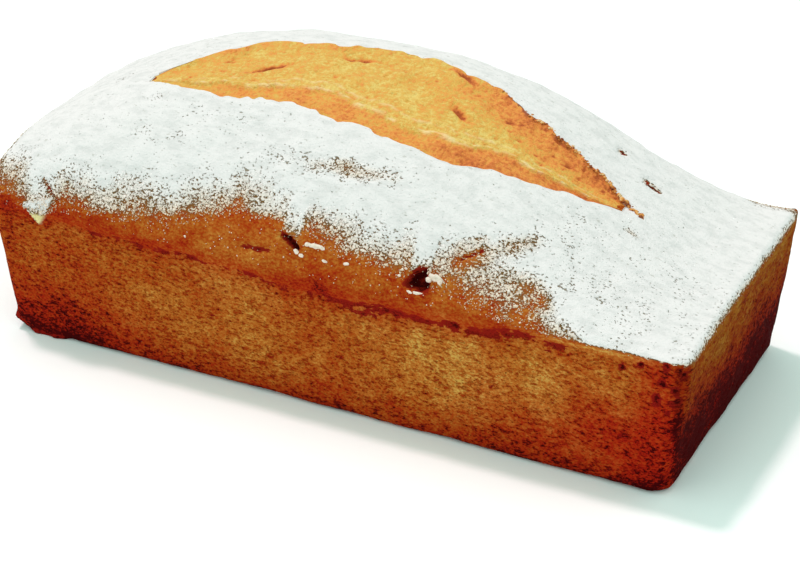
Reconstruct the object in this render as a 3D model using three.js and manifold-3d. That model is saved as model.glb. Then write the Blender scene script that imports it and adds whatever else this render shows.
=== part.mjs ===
// A pound cake loaf, baked in a loaf tin and turned out: one solid with tapered walls, a high uneven dome
// and a long split along the top. Millimetres, +Z up, origin at the middle of the flat base.
// X runs along the loaf and -Y is its front. A grid is laid over the top, and wall rows hang from its edge.
import * as THREE from "three";
import { mergeVertices } from "three/addons/utils/BufferGeometryUtils.js";
import Module from "manifold-3d";

// The tin's shape: the loaf is 250 mm long, as from a common 25 cm tin.
const RIM_LENGTH = 250;
const RIM_WIDTH = 108;
const BASE_LENGTH = 240;
const BASE_WIDTH = 104;
const WALL_HEIGHT = 49;
const RIM_CORNER = 5; // radius of the standing corners, in plan, at the rim
const BASE_CORNER = 7; // and at the base
const BASE_FILLET = 3; // round where the walls turn into the base

// The dome that rises above the walls.
const DOME_RISE = 47;
const PEAK_X = -18;
const LEFT_SHARE = 0.35; // share of the rise that is left at the left end
const LEFT_POWER = 2.2;
const RIGHT_SHARE = 0.08; // and at the right end
const RIGHT_POWER = 1.42;
const CREST_Y = 10; // the crest lies behind the middle
const CREST_SWAY = 10; // and swings this far forward at the left end
const LEFT_END_FROM = -30; // where the left end's own shape starts to come in
const FRONT_ROUNDING = [2, 1.5]; // power and root: the front shoulder falls away early
const LEFT_FRONT_ROUNDING = [3.1, 2.2]; // but not at the left end
const BACK_ROUNDING = [3.5, 2]; // the back shoulder is fuller
const BACK_CORNER_LIFT = 2; // the right back corner stuck to the tin and stands up
const CORNER_LIFT_REACH = 14;

// The split: two lips that meet at a tip on the left and one on the right.
const SPLIT_LEFT = new THREE.Vector2(-86, -15);
const SPLIT_RIGHT = new THREE.Vector2(87, 1);
const FRONT_LIP_OUT = 17.3; // how far the front lip bows from the line between the tips
const BACK_LIP_OUT = 29.4;
const FRONT_LIP_SKEW = 0.33; // where along the split each lip bows most, from -1 to 1
const BACK_LIP_SKEW = -0.22;
const FRONT_LIP_WAVE = { height: 2, length: 100, crest: -20 }; // the front lip's one long wave
const BACK_LIP_WAVE = { height: 2.6, length: 74, crest: -67 }; // and the back lip's, left of the middle
const LIP_STEP = 1.2; // thickness of the torn crust at the lips
const LIP_RUN = 1.4; // width of that step, in plan
const LIP_CURL = 0.5; // how far the lips curl up
const LIP_CURL_REACH = 5;
const SPLIT_HOLLOW = 2.5; // the crumb sags this far between the lips
const CREASE_AT = 0.27; // a second tear runs along the crumb, this share of the way back
const CREASE_HEIGHT = 1.3;
const CREASE_REACH = 0.06;
const GUIDE_LEAST = 3; // the grid's lines stay this far from the split's middle past its tips

// How uneven the baked surfaces are.
const DOME_RIPPLE = 0.7;
const CRUMB_RIPPLE = 0.9;
const WALL_RIPPLE = 0.5;

// Grid counts.
const CELLS_ALONG = 66;
const CELLS_SLOPE = 9;
const CELLS_CRUMB = 8;
const ROWS_WALL = 6;
const ROWS_FILLET = 3;

const clamp01 = (t) => Math.min(1, Math.max(0, t));
const smooth = (t) => clamp01(t) ** 2 * (3 - 2 * clamp01(t));
const mix = (a, b, t) => a + (b - a) * t;

// A gentle unevenness between about -1 and 1.
function ripple(u, v) {
  return (
    (Math.sin(u / 17 + 1.3) * Math.cos(v / 13 - 0.6) +
      0.6 * Math.sin(u / 7.3 + v / 9.1 + 2.1) +
      0.4 * Math.cos(u / 4.7 - v / 5.9)) /
    2
  );
}

// Share of the dome's rise along the loaf: a power curve to the left of the peak and half a cosine wave to its right.
function riseAlong(x) {
  const half = RIM_LENGTH / 2;
  if (x < PEAK_X) {
    const t = clamp01((PEAK_X - x) / (PEAK_X + half));
    return 1 - (1 - LEFT_SHARE) * t ** LEFT_POWER;
  }
  const t = clamp01((x - PEAK_X) / (half - PEAK_X));
  return mix(RIGHT_SHARE, 1, 0.5 + 0.5 * Math.cos(Math.PI * t ** RIGHT_POWER));
}

// Share of the rise across the loaf: a superellipse quarter on each side of the crest.
function riseAcross(x, y) {
  const leftness = smooth((LEFT_END_FROM - x) / (RIM_LENGTH / 2 + LEFT_END_FROM));
  const crest = CREST_Y - CREST_SWAY * leftness;
  const half = RIM_WIDTH / 2;
  if (y >= crest) {
    const [power, root] = BACK_ROUNDING;
    return (1 - clamp01((y - crest) / (half - crest)) ** power) ** (1 / root);
  }
  const [power, root] = FRONT_ROUNDING.map((value, k) => mix(value, LEFT_FRONT_ROUNDING[k], leftness));
  return (1 - clamp01((crest - y) / (half + crest)) ** power) ** (1 / root);
}

// A lip bows out from the line between the tips as a parabola whose top is pushed along by its skew.
function bow(x, skew) {
  const s = (2 * (x - SPLIT_LEFT.x)) / (SPLIT_RIGHT.x - SPLIT_LEFT.x) - 1;
  if (Math.abs(s) >= 1) return 0;
  return (1 - s * s) / (1 + skew * skew - 2 * skew * s);
}

function wave(x, { height, length, crest }) {
  return height * Math.cos((2 * Math.PI * (x - crest)) / length);
}

// The split at x: the y of its two lips and how open it is there, from 0 at the tips to 1.
function splitAt(x) {
  const along = (x - SPLIT_LEFT.x) / (SPLIT_RIGHT.x - SPLIT_LEFT.x);
  const chord = mix(SPLIT_LEFT.y, SPLIT_RIGHT.y, clamp01(along));
  const waver = 0.5 * Math.sin(x / 6.1) + 0.4 * Math.sin(x / 3.3 + 1);
  const open = smooth(bow(x, 0) * 2.2);
  const frontWave = wave(x, FRONT_LIP_WAVE) + waver;
  const backWave = wave(x, BACK_LIP_WAVE) * smooth(-x / 25) - waver;
  return {
    front: chord - FRONT_LIP_OUT * bow(x, FRONT_LIP_SKEW) + frontWave * open,
    back: chord + BACK_LIP_OUT * bow(x, BACK_LIP_SKEW) + backWave * open,
    open,
    chord,
  };
}

// Height of the dome with its split, over any point of the footprint.
function topHeight(x, y) {
  const split = splitAt(x);
  const share = riseAcross(x, y);
  let z = WALL_HEIGHT + DOME_RISE * riseAlong(x) * share;
  const lift = Math.hypot(RIM_LENGTH / 2 - x, RIM_WIDTH / 2 - y) / CORNER_LIFT_REACH;
  z += BACK_CORNER_LIFT * Math.exp(-lift * lift);
  const inside = Math.min(y - split.front, split.back - y);
  if (inside <= 0) {
    const curl = inside / LIP_CURL_REACH;
    return z + split.open * LIP_CURL * Math.exp(-curl * curl) + DOME_RIPPLE * ripple(x, y) * share;
  }
  const t = (y - split.front) / (split.back - split.front);
  const crease = (t - CREASE_AT) / CREASE_REACH;
  const step = mix(-LIP_CURL, LIP_STEP, smooth(inside / LIP_RUN));
  const sag = SPLIT_HOLLOW * 4 * t * (1 - t) - CREASE_HEIGHT * Math.exp(-crease * crease);
  return z - split.open * (step + sag - CRUMB_RIPPLE * ripple(1.9 * x, 1.7 * y) * smooth(inside / 6));
}

// Carries a point of a rectangle to the same place in a rectangle with round corners: inside each corner's
// square, square shells become arcs.
function roundCorner(x, y, halfX, halfY, radius) {
  const dx = Math.abs(x) - (halfX - radius);
  const dy = Math.abs(y) - (halfY - radius);
  if (dx <= 0 || dy <= 0) return [x, y];
  const pull = Math.max(dx, dy) / Math.hypot(dx, dy);
  return [Math.sign(x) * (halfX - radius + dx * pull), Math.sign(y) * (halfY - radius + dy * pull)];
}

// The plan y of each grid row at x: rows crowd towards the walls, and the lips have rows of their own.
function rowsAt(x) {
  const half = RIM_WIDTH / 2;
  const split = splitAt(x);
  const front = Math.min(split.front, split.chord - GUIDE_LEAST);
  const back = Math.max(split.back, split.chord + GUIDE_LEAST);
  const rows = [];
  for (let j = 0; j <= CELLS_SLOPE; j++) rows.push(mix(-half, front, (j / CELLS_SLOPE) ** 1.6));
  for (let j = 0; j <= CELLS_CRUMB; j++) rows.push(mix(front + LIP_RUN, back - LIP_RUN, j / CELLS_CRUMB));
  for (let j = CELLS_SLOPE; j >= 0; j--) rows.push(mix(half, back, (j / CELLS_SLOPE) ** 1.6));
  return rows;
}

// The plan x of each grid column: columns crowd a little towards the ends.
function columns() {
  const list = [];
  for (let i = 0; i <= CELLS_ALONG; i++) {
    const t = (2 * i) / CELLS_ALONG - 1;
    list.push((RIM_LENGTH / 2) * mix(t, Math.sin((t * Math.PI) / 2), 0.35));
  }
  return list;
}

// A point of the wall below a point of the grid's edge. down is 0 at the rim and 1 where the fillet starts.
function wallPoint(edge, down) {
  const top = new THREE.Vector3(...edge.top);
  const z = mix(top.z, BASE_FILLET, down);
  const depth = clamp01(1 - z / WALL_HEIGHT);
  const halfX = mix(RIM_LENGTH, BASE_LENGTH, depth) / 2;
  const halfY = mix(RIM_WIDTH, BASE_WIDTH, depth) / 2;
  const [x, y] = roundCorner(edge.a * halfX, edge.b * halfY, halfX, halfY, mix(RIM_CORNER, BASE_CORNER, depth));
  const belly = WALL_RIPPLE * ripple(x + y, 1.4 * z) * Math.sin(Math.PI * clamp01(down));
  const facing = Math.abs(edge.a) === 1 ? [Math.sign(edge.a), 0] : [0, Math.sign(edge.b)];
  return [x + facing[0] * belly, y + facing[1] * belly, z];
}

// A point of the fillet: turn runs from 0 on the wall to 1 on the flat of the base.
function filletPoint(edge, turn) {
  const angle = (turn * Math.PI) / 2;
  const inset = BASE_FILLET * (1 - Math.cos(angle));
  const halfX = BASE_LENGTH / 2 - inset;
  const halfY = BASE_WIDTH / 2 - inset;
  const [x, y] = roundCorner(edge.a * halfX, edge.b * halfY, halfX, halfY, BASE_CORNER - inset);
  return [x, y, BASE_FILLET * (1 - Math.sin(angle))];
}

// The loaf's skin as one closed indexed mesh: the top grid, the wall rows under its edge and a fan for the base.
function loafGeometry() {
  const xs = columns();
  const grid = xs.map((x) => rowsAt(x));
  const rowCount = grid[0].length;
  const positions = [];
  const faces = [];
  const add = (point) => positions.push(...point) / 3 - 1;
  const quad = (a, b, c, d) => faces.push(a, b, c, a, c, d);

  const top = xs.map((x, i) =>
    grid[i].map((y) => {
      const [px, py] = roundCorner(x, y, RIM_LENGTH / 2, RIM_WIDTH / 2, RIM_CORNER);
      return add([px, py, topHeight(px, py)]);
    }),
  );
  for (let i = 0; i < xs.length - 1; i++)
    for (let j = 0; j < rowCount - 1; j++) quad(top[i][j], top[i + 1][j], top[i + 1][j + 1], top[i][j + 1]);

  // The edge of the grid, walked anticlockwise seen from above. a and b are its shares of the half sizes.
  const edge = [];
  const step = (i, j) => {
    const index = top[i][j];
    const a = xs[i] / (RIM_LENGTH / 2);
    const b = grid[i][j] / (RIM_WIDTH / 2);
    edge.push({ index, a, b, top: positions.slice(3 * index, 3 * index + 3) });
  };
  for (let i = 0; i < xs.length - 1; i++) step(i, 0);
  for (let j = 0; j < rowCount - 1; j++) step(xs.length - 1, j);
  for (let i = xs.length - 1; i > 0; i--) step(i, rowCount - 1);
  for (let j = rowCount - 1; j > 0; j--) step(0, j);

  let ring = edge.map((e) => e.index);
  const hang = (points) => {
    const next = points.map(add);
    ring.forEach((at, k) => {
      const after = (k + 1) % ring.length;
      quad(next[k], next[after], ring[after], at);
    });
    ring = next;
  };
  for (let r = 1; r <= ROWS_WALL; r++) hang(edge.map((e) => wallPoint(e, r / ROWS_WALL)));
  for (let r = 1; r <= ROWS_FILLET; r++) hang(edge.map((e) => filletPoint(e, r / ROWS_FILLET)));
  const centre = add([0, 0, 0]);
  ring.forEach((at, k) => faces.push(centre, ring[(k + 1) % ring.length], at));

  const geometry = new THREE.BufferGeometry();
  geometry.setAttribute("position", new THREE.Float32BufferAttribute(positions, 3));
  geometry.setIndex(faces);
  return geometry;
}

// Burst bubbles in the front band under the dome: pockets that are cut out. x and z place each one on the front.
const BUBBLES = [
  { x: 36, z: 56, size: [4, 4.5, 3.8], tilt: 0.2 },
  { x: -7, z: 58, size: [3.8, 3, 1.6], tilt: -0.5 },
];
// Batter that ran out and burnt at the left front foot, and a nub of it further round the corner.
const BURNT = [
  { at: [-105, -50.6, 2.5], size: [9, 2.5, 2.4] },
  { at: [-116.8, -49.6, 5], size: [2.8, 2.6, 1.9] },
];
// A flap of crust that is folded down over the front edge and ends in a point.
const FLAP_AT = [-103, -53.5, 49.2];
const FLAP_SIZE = [6.4, 1.8, 9.6]; // half width, half thickness and height
const FLAP_TILT = -0.25;

// A squashed ball, turned about the Y axis.
function ball(size, tilt = 0) {
  const geometry = new THREE.SphereGeometry(1, 14, 9);
  geometry.scale(...size);
  geometry.rotateY(tilt);
  return geometry;
}

// A squashed cone that points down.
function flap() {
  const geometry = new THREE.ConeGeometry(1, 1, 16);
  geometry.rotateX(-Math.PI / 2);
  geometry.scale(...FLAP_SIZE);
  geometry.rotateY(FLAP_TILT);
  return geometry.translate(...FLAP_AT);
}

const wasm = await Module();
wasm.setup();

// A closed three.js geometry as a manifold-3d solid.
function solidOf(geometry) {
  const bare = geometry.clone();
  bare.deleteAttribute("normal");
  bare.deleteAttribute("uv");
  const merged = mergeVertices(bare, 1e-4);
  const vertProperties = merged.attributes.position.array;
  const triVerts = new Uint32Array(merged.index.array);
  return new wasm.Manifold(new wasm.Mesh({ numProp: 3, vertProperties, triVerts }));
}

function geometryOf(solid) {
  const mesh = solid.getMesh();
  const geometry = new THREE.BufferGeometry();
  geometry.setAttribute("position", new THREE.BufferAttribute(new Float32Array(mesh.vertProperties), 3));
  geometry.setIndex(new THREE.BufferAttribute(new Uint32Array(mesh.triVerts), 1));
  geometry.computeVertexNormals();
  return geometry;
}

// The y of the front surface at x and height z, found by halving between the middle of the loaf and its front.
function frontAt(x, z) {
  let outside = -RIM_WIDTH / 2;
  let inside = 0;
  for (let n = 0; n < 30; n++) {
    const y = (outside + inside) / 2;
    if (topHeight(x, y) > z) inside = y;
    else outside = y;
  }
  return inside;
}

let loaf = solidOf(loafGeometry());
for (const { x, z, size, tilt } of BUBBLES) {
  loaf = loaf.subtract(solidOf(ball(size, tilt).translate(x, frontAt(x, z), z)));
}
for (const { at, size } of BURNT) loaf = loaf.add(solidOf(ball(size).translate(...at)));
loaf = loaf.add(solidOf(flap()));

const crust = new THREE.MeshStandardMaterial({ color: 0xb8692f, roughness: 0.85, metalness: 0 });
const mesh = new THREE.Mesh(geometryOf(loaf), crust);
mesh.name = "loaf";

const poundCake = new THREE.Group();
poundCake.name = "pound_cake_loaf";
poundCake.add(mesh);

export default poundCake;
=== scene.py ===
import bpy
import numpy as np
from mathutils import Matrix


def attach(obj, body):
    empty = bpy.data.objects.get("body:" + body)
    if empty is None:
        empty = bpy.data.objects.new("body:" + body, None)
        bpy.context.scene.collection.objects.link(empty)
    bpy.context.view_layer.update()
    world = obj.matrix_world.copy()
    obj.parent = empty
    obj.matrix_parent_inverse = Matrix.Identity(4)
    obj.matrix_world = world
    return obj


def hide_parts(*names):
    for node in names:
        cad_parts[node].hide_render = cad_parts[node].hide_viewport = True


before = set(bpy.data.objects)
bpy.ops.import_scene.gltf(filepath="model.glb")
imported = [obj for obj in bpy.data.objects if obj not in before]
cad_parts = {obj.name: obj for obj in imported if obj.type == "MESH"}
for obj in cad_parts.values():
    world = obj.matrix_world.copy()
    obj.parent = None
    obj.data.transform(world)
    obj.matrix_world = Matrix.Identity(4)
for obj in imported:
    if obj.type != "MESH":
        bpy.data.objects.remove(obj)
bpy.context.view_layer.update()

# -------- The camera
# It looks at the loaf's front from the right and from above, with a long lens.
AZIMUTH, ELEVATION, ROLL = np.radians((26.85, 28.42, -0.36))
CAMERA_AT = (0.2887, -0.5626, 0.3627)
LENS_MM = 95.3

backward = np.array((
    np.sin(AZIMUTH) * np.cos(ELEVATION),
    -np.cos(AZIMUTH) * np.cos(ELEVATION),
    np.sin(ELEVATION),
))
level = np.array((np.cos(AZIMUTH), np.sin(AZIMUTH), 0.0))
upward = np.cross(backward, level)
right = np.cos(ROLL) * level + np.sin(ROLL) * upward
upward = np.cos(ROLL) * upward - np.sin(ROLL) * level

scene = bpy.context.scene


def stand(name, data, right, upward, backward, place):
    """Puts a camera or a lamp in the scene, with its own three axes along these directions."""
    made = bpy.data.objects.new(name, data)
    pose = Matrix(np.column_stack((right, upward, backward)).tolist()).to_4x4()
    pose.translation = place
    made.matrix_world = pose
    scene.collection.objects.link(made)
    return made


camera_data = bpy.data.cameras.new("camera")
camera_data.lens = LENS_MM
camera_data.clip_start = 0.05
scene.camera = stand("camera", camera_data, right, upward, backward, CAMERA_AT)

# -------- The baked crust
# The loaf's skin: pale batter that browned against the walls of a loaf tin, with pits where bubbles met
# the metal, and above them a smoother dome that rose free and tore open along the top. One closed skin.
MM = 0.001
HALF_LENGTH, HALF_WIDTH = 125.0, 54.0  # the rim, in millimetres
BASE_HALF = (120.0, 52.0)
WALL_HEIGHT = 49.0
RIM_CORNER, BASE_CORNER = 5.0, 7.0
FOOT_ROUND = 3.0
END_ROUND = 2.0

DOME_RISE, PEAK_X = 47.0, -18.0
LEFT_SHARE, LEFT_POWER = 0.35, 2.2
RIGHT_SHARE, RIGHT_POWER = 0.08, 1.42
CREST_Y, CREST_SWAY, LEFT_END_FROM = 10.0, 10.0, -30.0
CORNER_LIFT, CORNER_LIFT_REACH = 2.0, 14.0

SPLIT_LEFT, SPLIT_RIGHT = (-86.0, -15.0), (87.0, 1.0)
FRONT_LIP_OUT, BACK_LIP_OUT = 17.3, 29.4
FRONT_LIP_SKEW, BACK_LIP_SKEW = 0.33, -0.22
LIP_CURL, LIP_CURL_REACH = 0.15, 4.0
LIP_WALL = 0.4
GUIDE_LEAST = 3.0
GROOVE_DEPTH = 4.0

COLUMNS = 290
SLOPE_ROWS, GROOVE_ROWS = 50, 10
WALL_ROWS, FOOT_ROWS, BASE_RINGS = 56, 4, 6


def mix(a, b, share):
    """Goes in a straight line from a to b."""
    return a + (b - a) * share


def held(share):
    """Keeps a share from 0 to 1."""
    return np.clip(share, 0, 1)


def smooth(share):
    """Goes from 0 to 1 with a level start and end."""
    share = held(share)
    return share * share * (3 - 2 * share)


def hill(distance, reach):
    """A bell curve: 1 at no distance, and nearly 0 at twice the reach."""
    return np.exp(-((distance / reach) ** 2))


def turned(across, up, angle):
    """Places in a plane, as seen along axes that are turned by this angle."""
    return np.cos(angle) * across + np.sin(angle) * up, np.cos(angle) * up - np.sin(angle) * across


def oval_hill(across, up, middle, half_sizes, angle=0.0):
    """A bell curve over a turned oval: 1 at its middle, and exp(-1) at its half sizes."""
    u, v = turned(across - middle[0], up - middle[1], angle)
    return np.exp(-((u / half_sizes[0]) ** 2) - (v / half_sizes[1]) ** 2)


def length(vectors):
    """The length of each vector."""
    return np.linalg.norm(vectors, axis=-1)


def chance(cell, seed):
    """A fixed random number from 0 to 1 for each whole-number cell, from a hash of its three numbers."""
    mask = 0xFFFFFFFF
    key = (cell[..., 0] * 73856093) ^ (cell[..., 1] * 19349663) ^ (cell[..., 2] * 83492791) ^ (seed * 97531)
    key = ((key ^ (key >> 13)) * 1274126177) & mask
    key = ((key ^ (key >> 16)) * 668265263) & mask
    return ((key ^ (key >> 15)) & 0xFFFFFF) / 0xFFFFFF


def lumps(points, size, seed):
    """Smooth unevenness from -1 to 1: random values at the corners of cubes of this size, blended between
    the corners."""
    place = points / size
    cell = np.floor(place).astype(np.int64)
    part = place - cell
    part = part * part * (3 - 2 * part)
    total = 0
    for corner in np.ndindex(2, 2, 2):
        total = total + np.prod(np.where(corner, part, 1 - part), axis=-1) * chance(cell + corner, seed)
    return 2 * total - 1


def hollows(points, size, radius, seed, share=1.0):
    """Scattered round hollows, from 1 at their middles to 0 outside: this share of the cubes holds one, at
    a random place and up to this radius across, in cubes."""
    place = points / size
    home = np.floor(place).astype(np.int64)
    deepest = np.zeros(points.shape[:-1])
    for step in np.ndindex(3, 3, 3):
        cell = home + step - 1
        middle = cell + np.stack([chance(cell, seed + k) for k in range(3)], axis=-1)
        reach = radius * mix(0.45, 1, chance(cell, seed + 3))
        inside = 1 - (length(place - middle) / reach) ** 2
        deepest = np.maximum(deepest, np.where(chance(cell, seed + 4) < share, inside, 0))
    return deepest


def dome_share(x, y):
    """Share of the dome's rise over a point: along the loaf a power curve left of the peak and half a cosine
    wave right of it, and across the loaf a quarter superellipse on each side of the crest."""
    to_left = held((PEAK_X - x) / (PEAK_X + HALF_LENGTH))
    to_right = held((x - PEAK_X) / (HALF_LENGTH - PEAK_X))
    along = np.where(
        x < PEAK_X,
        1 - (1 - LEFT_SHARE) * to_left**LEFT_POWER,
        mix(RIGHT_SHARE, 1, 0.5 + 0.5 * np.cos(np.pi * to_right**RIGHT_POWER)),
    )
    left_end = smooth((LEFT_END_FROM - x) / (HALF_LENGTH + LEFT_END_FROM))
    crest = CREST_Y - CREST_SWAY * left_end
    to_front = held((crest - y) / (HALF_WIDTH + crest))
    to_back = held((y - crest) / (HALF_WIDTH - crest))
    front = (1 - to_front ** mix(2, 3.1, left_end)) ** (1 / mix(1.5, 2.2, left_end))
    back = (1 - to_back**3.5) ** 0.5
    return along * np.where(y < crest, front, back)


def split_lips(x):
    """The y of the split's front and back lips, how open it is and the y of its middle line, at each x.
    Each lip is a parabola between the tips with its top pushed along by a skew, a long wave and small
    tears."""
    along = (x - SPLIT_LEFT[0]) / (SPLIT_RIGHT[0] - SPLIT_LEFT[0])
    middle = mix(SPLIT_LEFT[1], SPLIT_RIGHT[1], held(along))
    s = np.clip(2 * along - 1, -1, 1)
    arch = 1 - s * s
    line = np.stack((x, 0 * x, 0 * x), axis=-1)
    waver = 0.5 * np.sin(x / 6.1) + 0.4 * np.sin(x / 3.3 + 1)
    front_wave = 2.0 * np.cos(2 * np.pi * (x + 20) / 100) + waver + 0.7 * lumps(line, 2.3, 11)
    back_wave = 2.6 * np.cos(2 * np.pi * (x + 67) / 74) * smooth(-x / 25) - waver
    back_wave = back_wave + 1.1 * lumps(line, 2.9, 12) + 0.9 * lumps(line, 8, 13)
    opened = smooth(2.2 * arch)
    front_bow = arch / (1 + FRONT_LIP_SKEW**2 - 2 * FRONT_LIP_SKEW * s)
    back_bow = arch / (1 + BACK_LIP_SKEW**2 - 2 * BACK_LIP_SKEW * s)
    front = middle - FRONT_LIP_OUT * front_bow + front_wave * opened
    back = middle + BACK_LIP_OUT * back_bow + back_wave * opened
    return front, back, opened, middle


def dome_height(x, y):
    """Height of the unbroken dome: the walls, the share of the rise, a corner that stuck to the tin and
    stands up, and a small round where the dome meets the ends."""
    lift = CORNER_LIFT * hill(np.hypot(HALF_LENGTH - x, HALF_WIDTH - y), CORNER_LIFT_REACH)
    past = np.clip(np.abs(x) - (HALF_LENGTH - END_ROUND), 0, END_ROUND) / END_ROUND
    drop = 0.8 * END_ROUND * (1 - np.sqrt(1 - 0.98 * past**2))
    return WALL_HEIGHT + DOME_RISE * dome_share(x, y) + lift - drop


def crust_height(x, y):
    """Height of the crust: the dome, whose lips curl up along the split, and a groove between the lips
    that the crumb fills."""
    front, back, opened, _ = split_lips(x)
    inside = np.minimum(y - front, back - y)
    curl = LIP_CURL * opened * hill(np.minimum(inside, 0), LIP_CURL_REACH)
    groove = (GROOVE_DEPTH + LIP_CURL) * opened * smooth(inside / LIP_WALL)
    return dome_height(x, y) + curl - groove


def round_corner(x, y, half_x, half_y, radius):
    """Carries a point of a rectangle to the same place in one with round corners: within a radius of each
    corner, square shells become arcs."""
    dx, dy = np.abs(x) - (half_x - radius), np.abs(y) - (half_y - radius)
    corner = (dx > 0) & (dy > 0)
    pull = np.where(corner, np.maximum(dx, dy) / np.hypot(np.where(corner, dx, 1), dy), 1)
    new_x = np.where(corner, np.sign(x) * (half_x - radius + dx * pull), x)
    return new_x, np.where(corner, np.sign(y) * (half_y - radius + dy * pull), y)


def rows_across(x):
    """The y of every row of the top at each x: rows crowd towards the walls, and two keep to the lips."""
    front, back, _, middle = split_lips(x)
    front = np.minimum(front, middle - GUIDE_LEAST)[:, None]
    back = np.maximum(back, middle + GUIDE_LEAST)[:, None]
    slope = np.linspace(0, 1, SLOPE_ROWS) ** 1.6
    across = np.linspace(0, 1, GROOVE_ROWS)
    return np.hstack((
        mix(-HALF_WIDTH, front, slope),
        mix(front + LIP_WALL, back - LIP_WALL, across),
        mix(HALF_WIDTH, back, slope[::-1]),
    ))


def ring_of(grid):
    """The outer edge of a grid of values, walked anticlockwise as seen from above."""
    return np.concatenate((grid[:-1, 0], grid[-1, :-1], grid[:0:-1, -1], grid[0, :0:-1]))


def cell_corners(grid):
    """The grid's values at the four corners of every cell, anticlockwise."""
    return grid[:-1, :-1], grid[1:, :-1], grid[1:, 1:], grid[:-1, 1:]


def grid_quads(index):
    """Four-sided faces over a grid of point numbers."""
    return np.stack(cell_corners(index), axis=-1).reshape(-1, 4)


def outward(points, quads):
    """The direction straight out of the skin at every point: the sum of its faces' cross products."""
    a, b, c, d = (points[quads[:, k]] for k in range(4))
    facing = np.cross(c - a, d - b)
    total = np.zeros_like(points)
    for k in range(4):
        np.add.at(total, quads[:, k], facing)
    return total / np.maximum(length(total), 1e-9)[:, None]


def make_piece(name, points, faces, material, values=None):
    """A smooth closed mesh from points in millimetres and arrays of faces, with a value for each point under
    each name given."""
    mesh = bpy.data.meshes.new(name)
    mesh.from_pydata((points * MM).tolist(), [], [face for part in faces for face in part.tolist()])
    mesh.polygons.foreach_set("use_smooth", np.ones(len(mesh.polygons), dtype=bool))
    for key, value in (values or {}).items():
        mesh.attributes.new(key, "FLOAT", "POINT").data.foreach_set("value", value.astype(np.float32))
    mesh.materials.append(material)
    mesh.update()
    piece = bpy.data.objects.new(name, mesh)
    scene.collection.objects.link(piece)
    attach(piece, "root")
    return piece


# The grid over the top, the wall's rows hung from its edge, and the rings that close the base.
spread = np.linspace(-1, 1, COLUMNS)
column_x = HALF_LENGTH * mix(spread, np.sin(spread * np.pi / 2), 0.12)
row_y = rows_across(column_x)
grid_x = np.broadcast_to(column_x[:, None], row_y.shape)
top_x, top_y = round_corner(grid_x, row_y, HALF_LENGTH, HALF_WIDTH, RIM_CORNER)
top = np.stack((top_x, top_y, crust_height(top_x, top_y)), axis=-1)
edge_a, edge_b = ring_of(grid_x / HALF_LENGTH), ring_of(row_y / HALF_WIDTH)
edge_z = ring_of(top[..., 2])

down = np.linspace(0, 1, WALL_ROWS + 1)[1:, None]
wall_z = mix(edge_z, FOOT_ROUND, down)
depth = held(1 - wall_z / WALL_HEIGHT)
half_x, half_y = mix(HALF_LENGTH, BASE_HALF[0], depth), mix(HALF_WIDTH, BASE_HALF[1], depth)
wall_corner = mix(RIM_CORNER, BASE_CORNER, depth)
wall_x, wall_y = round_corner(edge_a * half_x, edge_b * half_y, half_x, half_y, wall_corner)
wall = np.stack((wall_x, wall_y, wall_z), axis=-1)

turn = np.linspace(0, np.pi / 2, FOOT_ROWS + 1)[1:, None]
inset = FOOT_ROUND * (1 - np.cos(turn))
half_x, half_y = BASE_HALF[0] - inset, BASE_HALF[1] - inset
foot_x, foot_y = round_corner(edge_a * half_x, edge_b * half_y, half_x, half_y, BASE_CORNER - inset)
foot_z = np.broadcast_to(FOOT_ROUND * (1 - np.sin(turn)), foot_x.shape)
foot = np.stack((foot_x, foot_y, foot_z), axis=-1)
shrink = 1 - np.linspace(0, 1, BASE_RINGS + 1)[1:-1, None, None] ** 0.8
base = np.concatenate((foot[-1] * shrink, [foot[-1] * 0.01]))

rings = np.concatenate((wall, foot, base))
skin = np.concatenate((top.reshape(-1, 3), rings.reshape(-1, 3)))
top_index = np.arange(top_x.size).reshape(top_x.shape)
ring_index = top_x.size + np.arange(rings.shape[0] * rings.shape[1]).reshape(rings.shape[:2])
ring_index = np.vstack((ring_of(top_index), ring_index))
ring_index = np.hstack((ring_index, ring_index[:, :1]))[::-1]
skin_quads = np.vstack((grid_quads(top_index), grid_quads(ring_index.T)))
middle_of_base = len(skin)
skin = np.vstack((skin, (0, 0, 0)))
last_ring = ring_index[0]
skin_fan = np.stack((np.full(len(last_ring) - 1, middle_of_base), last_ring[1:], last_ring[:-1]), axis=-1)
skin_out = outward(skin, skin_quads)

# The crease where the batter rose past the tin: it runs along the front just under the rim, dips in the
# middle, breaks up and wavers, and is deeper and double for a stretch right of the middle.
CREASE_Z, CREASE_DIP, CREASE_DIP_X, CREASE_DIP_REACH = 46.9, 4.4, 14, 68
CREASE_HALF_WIDTH, DEEP_HALF_WIDTH, CREASE_DEPTH = 1.35, 2.0, 1.1
SECOND_BELOW, SECOND_SHARE = 2.9, 0.85
BAND_STANDS_OUT = 0.8

x, y, z = skin.T
front_face = smooth((-44 - y) / 5)
crease_z = CREASE_Z - CREASE_DIP * hill(x - CREASE_DIP_X, CREASE_DIP_REACH)
crease_z = crease_z + 0.5 * np.sin(x / 9) + 0.4 * np.sin(x / 3.7 + 2) + 0.9 * lumps(skin, 3.4, 20)
deep_stretch = smooth((x - 4) / 12) * smooth((88 - x) / 14)
broken = mix(0.38, 1.15, held(0.65 + 1.3 * lumps(skin, 2.6, 21)))
crease_share = smooth((104 - np.abs(x)) / 22) * mix(0.7, 1, deep_stretch) * broken
second_crease = deep_stretch * smooth(0.5 + 2 * lumps(skin, 9, 22)) * hill(z - crease_z + SECOND_BELOW, 1.2)
first_crease = hill(z - crease_z, mix(CREASE_HALF_WIDTH, DEEP_HALF_WIDTH, deep_stretch))
crease = front_face * crease_share * np.maximum(first_crease, SECOND_SHARE * second_crease)
short_fold = hill(z - 53.8 - 0.04 * (x + 21), 0.85) * smooth((x + 30) / 8) * smooth((-11 - x) / 9)
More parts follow.
